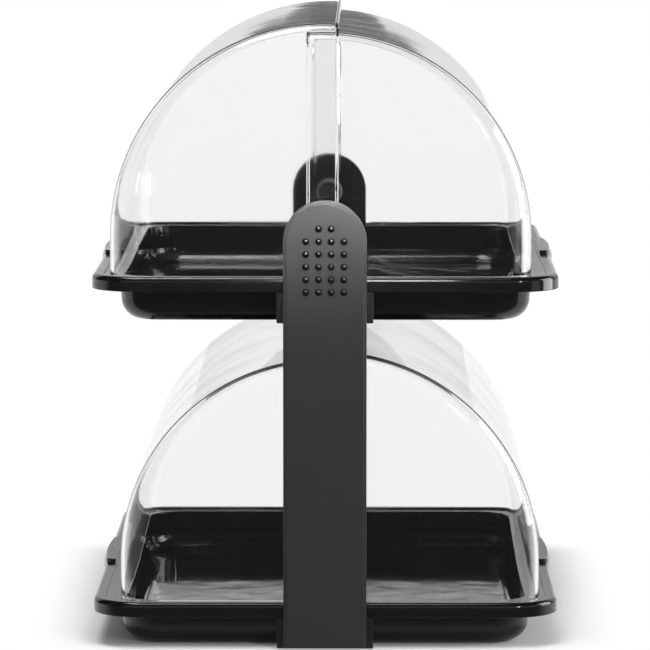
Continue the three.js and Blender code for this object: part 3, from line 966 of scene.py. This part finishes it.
@dataclass
class Upright:
    """One upright: a bar with a full-round top, a stepped edge and a field of domes."""

    width: float = 56.0
    thickness: float = 8.0
    lift: float = 2.5
    back_break: float = 0.3
    edge_radius: float = 0.9
    shoulder: float = 0.8
    step_break: float = 0.1
    face_radius: float = 0.9
    foot_corner: float = 1.0
    least_corner: float = 0.2
    dome_diameter: float = 5.0
    dome_height: float = 2.0
    dome_sink: float = 0.3
    dome_pitch: float = 8.5
    dome_columns: int = 4
    dome_rows: int = 5
    dome_top_columns: int = 2
    dome_rise: float = 0.7
    dome_arc: float = 0.96
    dome_smooth_to: float = 60.0
    dome_sides: int = 28
    dome_steps: int = 9
    turn_steps: int = 64
    foot_steps: int = 4
    edge_steps: int = 5

    def outline(self, inset: float, out: float) -> list[Vector]:
        """Makes one ring of the bar at a distance out from its inner face.

        Args:
            inset: How far the ring lies inside the bar's outline.
            out: How far it stands out from the inner face.

        Returns:
            The ring's places in metres.
        """
        half = self.width / 2 - inset
        top = SIZES.tier_pitch + SIZES.pivot_height
        corner = max(self.foot_corner - inset, self.least_corner)
        low = self.lift + inset + corner
        flat = [(-half + corner + x, low + z) for x, z in arc(corner, 2, 3, self.foot_steps)]
        flat += [(half - corner + x, low + z) for x, z in arc(corner, 3, 4, self.foot_steps)]
        flat += [(x, top + z) for x, z in arc(half, 0, 2, self.turn_steps)]
        return [Vector((x, -SIZES.upright_inner_face - out, z)) * MM for x, z in flat]

    def rings(self) -> list[list[Vector]]:
        """Makes the bar's rings, from the inner face over the stepped edge to the outer face."""
        ledge = self.thickness - self.face_radius
        inset = self.edge_radius + self.shoulder
        steps = [(self.back_break, 0), (0, self.back_break)]
        steps += [(self.edge_radius - across, ledge - self.edge_radius + out)
                  for across, out in arc(self.edge_radius, 0, 1, self.edge_steps)]
        steps += [(inset - self.step_break, ledge), (inset, ledge + self.step_break)]
        radius = self.face_radius - self.step_break
        steps += [(inset + radius - across, ledge + self.step_break + out)
                  for across, out in arc(radius, 0, 1, self.edge_steps)]
        return [self.outline(inset, out) for inset, out in steps]

    def dome_places(self) -> list[Point]:
        """Lists the domes' places across and up, in millimetres."""
        places = []
        top = SIZES.tier_pitch + SIZES.pivot_height + self.dome_rise
        for row in range(self.dome_rows + 1):
            columns = self.dome_top_columns if row == self.dome_rows else self.dome_columns
            for column in range(columns):
                across = (column - (columns - 1) / 2) * self.dome_pitch
                places.append((across, top + (row - self.dome_rows + 1) * self.dome_pitch))
        return places

    def dome(self) -> Piece:
        """Models one dome about the Y axis, on the bar's outer face."""
        face = -SIZES.upright_inner_face - self.thickness
        profile = [(self.dome_diameter / 2, face + self.dome_sink)]
        for across, out in arc(1.0, 0, self.dome_arc, self.dome_steps):
            profile.append((across * self.dome_diameter / 2, face - out * self.dome_height))
        piece = skin_by_rings("dome", turned_rings(profile, self.dome_sides, 0))
        return dress(piece, DOME_GLOSS, degrees=self.dome_smooth_to)

    def build(self) -> list[Piece]:
        """Models the front upright with its domes, copies it to the rear and dresses both."""
        bar = dress(skin_by_rings("front_upright_bar", self.rings()), UPRIGHT_SATIN)
        first = self.dome()
        domes = [copied(first, f"dome_{i}", shift(x, 0, z)) for i, (x, z) in enumerate(self.dome_places())]
        bpy.data.objects.remove(first)
        front = joined([bar, *domes])
        rear = copied(front, "rear_upright_bar", HALF_TURN)
        for end, piece in ((End.FRONT, front), (End.REAR, rear)):
            settle(piece, "case", f"{end.value}_upright")
        return [front, rear]


@dataclass
class Bracket:
    """One bracket: a block under the rim's end, stepped behind the skirt, with three pockets below."""

    width: float = 65.0
    lift: float = 1.0
    wall: float = 3.0
    edge_break: float = 0.6
    break_over: float = 40.0
    break_steps: int = 3
    smooth_to: float = 40.0
    flatness: float = 0.9

    def model(self) -> Piece:
        """Models the front lower bracket from a block, by cuts, an inset and extrusions."""
        s = SIZES
        front = s.rim_length / 2
        back = s.body_half_length + s.gap
        low = self.lift
        high = s.skirt_bottom - s.gap
        piece = block("bracket", (0, -(front + back) / 2, (low + high) / 2),
                      (self.width, front - back, high - low))
        step = -(front - s.skirt_wall - s.gap)

        def behind_skirt(face: Face, way: int) -> bool:
            """Says whether a face looks up, or down for -1, and lies behind the skirt."""
            return face.normal.z * way > self.flatness and face.calc_center_median().y > step * MM

        open_edit(piece)
        bisect(at(y=step), BACK, False)
        for side in (-1, 1):
            bisect(at(side * s.screw_spacing / 2), RIGHT, False)
        select_faces(piece, lambda face: behind_skirt(face, 1))
        rise = s.rim_underside - s.gap - high
        MESH.extrude_region_move(TRANSFORM_OT_translate={"value": at(z=rise)})
        select_faces(piece, lambda face: behind_skirt(face, -1))
        MESH.inset(thickness=self.wall * MM, use_individual=True)
        depth = high - low - self.wall
        MESH.extrude_region_move(TRANSFORM_OT_translate={"value": at(z=depth)})
        agree_normals()
        close_edit()
        break_edges(piece, self.edge_break, self.break_steps, self.break_over)
        return dress(piece, BRACKET_SATIN, degrees=self.smooth_to)


@dataclass
class Fittings:
    """The pivots, the screws and the brackets: each is modelled once and copied to all four places."""

    bracket: Bracket = field(default_factory=Bracket)
    pin_radius: float = 4.0
    pin_head_radius: float = 8.0
    pin_head_height: float = 3.0
    pin_head_break: float = 0.3
    pin_crown: float = 1.2
    pin_depth: float = 5.0
    bush_radius: float = 9.0
    washer_radius: float = 10.0
    edge_break: float = 0.4
    screw_seat: float = 1.0
    screw_radius: float = 1.8
    screw_head_radius: float = 4.0
    screw_head_height: float = 2.4
    screw_crown: float = 0.8
    screw_bite: float = 5.0
    socket_width: float = 1.6
    socket_span: float = 4.8
    socket_depth: float = 1.3
    cut_overrun: float = 1.0
    sides: int = 48
    pin_crown_steps: int = 5
    screw_crown_steps: int = 4

    def crown(self, head: float, rounding: float, top: float, steps: int) -> list[Point]:
        """Lists the profile points of a head's rounded top."""
        return [(head - rounding + out, top - rounding + up) for out, up in arc(rounding, 0, 1, steps)]

    def pin(self) -> Piece:
        """Models the front lower pivot pin."""
        s = SIZES
        seat = -(s.inner_lid_end - s.lid_wall) + s.gap
        tip = -s.upright_inner_face - self.pin_depth
        profile = [(self.pin_radius - self.edge_break, tip), (self.pin_radius, tip + self.edge_break),
                   (self.pin_radius, seat), (self.pin_head_radius - self.pin_head_break, seat),
                   (self.pin_head_radius, seat + self.pin_head_break)]
        profile += self.crown(self.pin_head_radius, self.pin_crown, seat + self.pin_head_height,
                              self.pin_crown_steps)
        return dress(skin_by_rings("pin", turned_rings(profile, self.sides, s.pivot_height)), BRACKET_SATIN)

    def collar(self, name: str, radius: float, start: float, end: float, finish: Finish) -> Piece:
        """Models a ring about the pin between two places along Y."""
        bore = SIZES.pin_bore_radius
        cut = self.edge_break
        rings = [(bore, start + cut), (bore + cut, start), (radius - cut, start), (radius, start + cut),
                 (radius, end - cut), (radius - cut, end), (bore + cut, end), (bore, end - cut)]
        rings = turned_rings(rings + rings[:1], self.sides, SIZES.pivot_height)
        piece = skin_by_rings(name, rings, capped=False)
        open_edit(piece)
        agree_normals(merge=True)
        close_edit()
        return dress(piece, finish)

    def screw(self) -> Piece:
        """Models a screw of the front lower bracket, on the middle plane, with its cross socket."""
        s = SIZES
        seat = -s.well_half_length + self.screw_seat + s.gap
        tip = -s.upright_inner_face - self.screw_bite
        top = seat + self.screw_head_height
        profile = [(self.screw_radius / 2, tip), (self.screw_radius, tip + self.screw_radius),
                   (self.screw_radius, seat), (self.screw_head_radius, seat)]
        profile += self.crown(self.screw_head_radius, self.screw_crown, top, self.screw_crown_steps)
        piece = skin_by_rings("screw", turned_rings(profile, self.sides, s.screw_height))
        depth = self.socket_depth + self.cut_overrun
        for width, span in ((self.socket_width, self.socket_span), (self.socket_span, self.socket_width)):
            middle = (0, top + self.cut_overrun - depth / 2, s.screw_height)
            combine(piece, block("cutter", middle, (width, depth, span)), "DIFFERENCE")
        return dress(piece, SCREW_ZINC)

    def build(self) -> list[Piece]:
        """Models each fitting once and copies it to both tiers and both ends."""
        s = SIZES
        bush = self.collar("bush", self.bush_radius, -s.upright_inner_face + s.gap,
                           -s.outer_lid_end - s.gap, UPRIGHT_SATIN)
        washer = self.collar("washer", self.washer_radius, -(s.outer_lid_end - s.lid_wall) + s.gap,
                             -s.inner_lid_end - s.gap, WASHER_ACETAL)
        screw = self.screw()
        kinds = [
            ("bracket", self.bracket.model(), "satin_black_upright", 0.0),
            ("pivot_pin", self.pin(), "satin_black_upright", 0.0),
            ("pivot_bush", bush, "satin_black_upright", 0.0),
            ("pivot_washer", washer, "pale_washer", 0.0),
            ("screw_left", screw, "zinc_screw", -s.screw_spacing / 2),
            ("screw_right", screw, "zinc_screw", s.screw_spacing / 2),
        ]
        made = []
        for end, turn in ((End.FRONT, Matrix.Identity(4)), (End.REAR, HALF_TURN)):
            for tier, lift in ((Tier.LOWER, 0.0), (Tier.UPPER, s.tier_pitch)):
                for word, first, slot, across in kinds:
                    node = f"{end.value}_{tier.value}_{word}"
                    made.append(copied(first, f"{node}_body", turn @ shift(across, 0, lift)))
                    settle(made[-1], "case", node)
        for first in {kind[1] for kind in kinds}:
            bpy.data.objects.remove(first)
        return made


# ---- studio


@dataclass(frozen=True)
class SoftLight:
    """One soft area light that the camera doesn't see; its spread is the width of its beam in degrees."""

    name: str
    place: Place
    target: Place
    width: float
    height: float
    power: float
    spread: float = 180.0
    mirrored: bool = True

    def build(self) -> Piece:
        """Adds the light and turns it to its target."""
        data = bpy.data.lights.new(self.name, "AREA")
        data.shape = "RECTANGLE"
        data.size = self.width
        data.size_y = self.height
        data.energy = self.power
        data.spread = math.radians(self.spread)
        lamp = bpy.data.objects.new(self.name, data)
        lamp.location = self.place
        aim = Vector(self.target) - Vector(self.place)
        lamp.rotation_euler = aim.to_track_quat("-Z", "Y").to_euler()
        lamp.visible_camera = False
        lamp.visible_glossy = lamp.visible_transmission = self.mirrored
        bpy.context.collection.objects.link(lamp)
        return lamp


@dataclass(frozen=True)
class Card:
    """One standing sheet that glows evenly: reflections and clear pieces show it, the camera doesn't.

    Its edge lists places out from the middle and heights of the upper edge's right half. Its level is how
    bright it is in a reflection, and through is how bright it is behind a clear piece in a mirror, where 1
    is white. A straight look through a clear piece sees white.
    """

    name: str
    place: float
    half_width: float
    edge: tuple[Point, ...]
    level: float
    through: float
    base: float = 0.0

    def sheet(self) -> Piece:
        """Models the sheet from a subdivided plane whose upper row follows the edge."""
        right = [*self.edge, (self.half_width, self.edge[-1][1])]
        top = [(-out, up) for out, up in reversed(right)] + right[1:]
        piece = named_primitive(self.name, MESH.primitive_grid_add, x_subdivisions=len(top) - 1,
                                y_subdivisions=1, size=1.0)
        order = sorted(piece.data.vertices, key=lambda vertex: (-round(vertex.co.y, 3), vertex.co.x))
        for vertex, (out, up) in zip(order, [*top, *((out, self.base) for out, _ in top)]):
            vertex.co = (out, self.place, up)
        return piece

    def paper(self) -> Material:
        """Makes the glowing paper, with its own level for each kind of ray."""
        material = bpy.data.materials.new(f"{self.name}_paper")
        tree = emptied_tree(material)
        path, _, straight = ray_kinds(tree)
        strength = add_node(tree, "MapRange", values={"To Min": self.level, "To Max": self.through},
                            links={"Value": path.outputs["Is Transmission Ray"]})
        strength = add_node(tree, "MapRange", values={"To Max": 1.0},
                            links={"Value": straight, "To Min": strength.outputs[0]})
        glow = add_node(tree, "Emission", links={"Strength": strength.outputs[0]})
        add_node(tree, "OutputMaterial", links={"Surface": glow.outputs[0]})
        return material

    def build(self) -> Piece:
        """Adds the card, hidden from the camera and from the light it would give."""
        piece = self.sheet()
        piece.data.materials.append(self.paper())
        piece.visible_camera = piece.visible_diffuse = piece.visible_shadow = False
        return piece


@dataclass
class Studio:
    """The pale floor, the backdrop, the lights and the camera."""

    floor_radius: float = 14.0
    floor_sides: int = 96
    floor_colour: str = "#f7f7f7"
    footprint: Place = (0.15, 0.19, 0.0)
    fade_end: float = 0.06
    dim_front: Point = (-0.27, -0.16)
    room_depth: float = 8.0
    room_half_width: float = 9.0
    card_gap: float = 0.01
    backdrop_edge: tuple[Point, ...] = ((0.0, 0.70), (0.29, 0.66), (0.52, 0.50))
    white_level: float = 0.8
    dark_half_width: float = 0.5
    dark_height: float = 0.9
    high_dark: Point = (1.17, 1.365)
    dark_level: float = 0.12
    dark_through: float = 0.04
    front_level: float = 0.12
    front_screen_level: float = 0.5
    screen_height: float = 6.0
    sky_level: float = 0.5
    air_level: float = 0.02
    air_through: float = 0.3
    image_pixels: float = 650.0
    focal_pixels: float = 4420.0
    sensor_mm: float = 36.0
    camera_place: Place = (0.0233, -3.1652, 0.5445)
    camera_pitch: float = 6.268
    camera_yaw: float = 0.452

    def lights(self) -> list[SoftLight]:
        """Lists the soft lights."""
        return [
            SoftLight("overhead_light", (-0.35, -0.15, 2.0), (0, 0, 0.2), 1.0, 0.8, 18.0),
            SoftLight("front_light", (0.04, -0.42, 0.48), (0, -0.23, 0.29), 0.24, 0.12, 1.0,
                      mirrored=False),
            SoftLight("front_beam", (0.03, -0.42, 0.42), (0, -0.23, 0.31), 0.12, 0.08, 0.12, 26.0),
            SoftLight("right_light", (1.35, 0.1, 0.5), (0, 0, 0.2), 0.8, 0.9, 13.0),
            SoftLight("right_fill", (1.25, -0.75, 0.4), (0, -0.1, 0.2), 0.5, 0.7, 0.7),
            SoftLight("left_strip", (-1.5, -0.3, 0.5), (0, 0, 0.2), 0.14, 0.9, 0.2),
            SoftLight("small_light", (0.78, -1.5, 0.66), (0, -0.2, 0.27), 0.12, 0.12, 3.5),
        ]

    def world(self) -> None:
        """Makes a world that is white to the camera, dark to reflections and grey as the light it gives."""
        world = bpy.data.worlds.new("studio_air")
        tree = emptied_tree(world)
        path = add_node(tree, "LightPath")
        strength = add_node(tree, "Value").outputs[0]
        strength.default_value = self.sky_level
        for ray, level in (("Is Glossy Ray", self.air_level), ("Is Transmission Ray", self.air_through),
                           ("Is Camera Ray", 1.0)):
            strength = add_node(tree, "MapRange", values={"To Max": level},
                                links={"Value": path.outputs[ray], "To Min": strength}).outputs[0]
        back = add_node(tree, "Background", links={"Strength": strength})
        add_node(tree, "OutputWorld", links={"Surface": back.outputs[0]})
        bpy.context.scene.world = world

    def floor_material(self) -> Material:
        """Makes the floor: white card under the case that melts into white further out."""
        material = bpy.data.materials.new("white_card_floor")
        tree = emptied_tree(material)
        place = add_node(tree, "TexCoord").outputs["Object"]
        path, mirrored, _ = ray_kinds(tree)
        away = add_node(tree, "VectorMath", {"operation": "ABSOLUTE"}, links={"0": place})
        for operation, other in (("SUBTRACT", self.footprint), ("MAXIMUM", (0.0, 0.0, 0.0))):
            away = add_node(tree, "VectorMath", {"operation": operation}, {"1": other},
                            {"0": away.outputs[0]})
        away = add_node(tree, "VectorMath", {"operation": "LENGTH"}, links={"0": away.outputs[0]})
        fade = add_node(tree, "MapRange", {"interpolation_type": "SMOOTHSTEP"}, {"From Max": self.fade_end},
                        {"Value": away.outputs["Value"]}).outputs[0]
        seen = path.outputs["Is Camera Ray"]
        for ray in ("Is Transmission Ray", "Is Glossy Ray"):
            seen = add_node(tree, "Math", {"operation": "MAXIMUM"},
                            links={"0": seen, "1": path.outputs[ray]}).outputs[0]
        # The room in front of the case is dim, so that its near faces reflect little
        parts = add_node(tree, "SeparateXYZ", links={"0": place})
        front = add_node(tree, "MapRange", {"interpolation_type": "SMOOTHSTEP"},
                         {"From Min": self.dim_front[0], "From Max": self.dim_front[1], "To Min": 1.0,
                          "To Max": 0.0}, {"Value": parts.outputs[1]}).outputs[0]
        surface = add_node(tree, "BsdfDiffuse", values={"Color": linear(self.floor_colour)}).outputs[0]
        for asked, where, level in ((seen, fade, 1.0), (mirrored, front, self.front_level)):
            share = add_node(tree, "Math", {"operation": "MULTIPLY"}, links={"0": asked, "1": where})
            glow = add_node(tree, "Emission", values={"Strength": level})
            surface = add_node(tree, "MixShader", links={"0": share.outputs[0], "1": surface,
                                                         "2": glow.outputs[0]}).outputs[0]
        add_node(tree, "OutputMaterial", links={"Surface": surface})
        return material

    def floor(self) -> Piece:
        """Adds the round floor."""
        piece = named_primitive("floor", MESH.primitive_circle_add, vertices=self.floor_sides,
                                radius=self.floor_radius, fill_type="NGON")
        piece.data.materials.append(self.floor_material())
        return piece

    def cards(self) -> list[Card]:
        """Lists the low backdrop, two dark cards, the white screen behind them and the front screen."""
        room, wide, gap = self.room_depth, self.room_half_width, self.card_gap
        dark = self.dark_level, self.dark_through
        screen = ((0.0, self.screen_height),)
        return [
            Card("backdrop", room, wide, self.backdrop_edge, self.white_level, 1.0),
            Card("dark_card", room + gap, self.dark_half_width, ((0.0, self.dark_height),), *dark),
            Card("high_dark_card", room + gap, wide, ((0.0, self.high_dark[1]),), *dark, self.high_dark[0]),
            Card("white_screen", room + 2 * gap, wide, screen, self.white_level, 1.0),
            Card("front_screen", -room, wide, screen, self.front_screen_level, self.dark_through),
        ]

    def camera(self) -> None:
        """Adds the camera at the photograph's viewing angle."""
        data = bpy.data.cameras.new("photo_camera")
        data.sensor_width = self.sensor_mm
        data.lens = self.sensor_mm * self.focal_pixels / self.image_pixels
        camera = bpy.data.objects.new("photo_camera", data)
        camera.location = self.camera_place
        pitch, yaw = math.radians(self.camera_pitch), math.radians(self.camera_yaw)
        camera.rotation_euler = (QUARTER - pitch, 0, yaw)
        bpy.context.collection.objects.link(camera)
        bpy.context.scene.camera = camera

    def build(self) -> None:
        """Sets the studio round the case."""
        bpy.context.scene.view_settings.view_transform = "Standard"
        self.world()
        self.floor()
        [card.build() for card in self.cards()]
        for light in self.lights():
            light.build()
        self.camera()


def main() -> None:
    """Builds every sub-assembly in order, then the studio, and logs how many pieces each made."""
    logging.basicConfig(level=logging.INFO, format="%(name)s: %(message)s")
    pieces = []
    for assembly in (Tray(), LidPair(), Upright(), Fittings()):
        made = assembly.build()
        LOG.info("%s: %d pieces", type(assembly).__name__, len(made))
        pieces += made
    Studio().build()
    LOG.info("%d pieces in all", len(pieces))


if __name__ == "__main__":
    main()
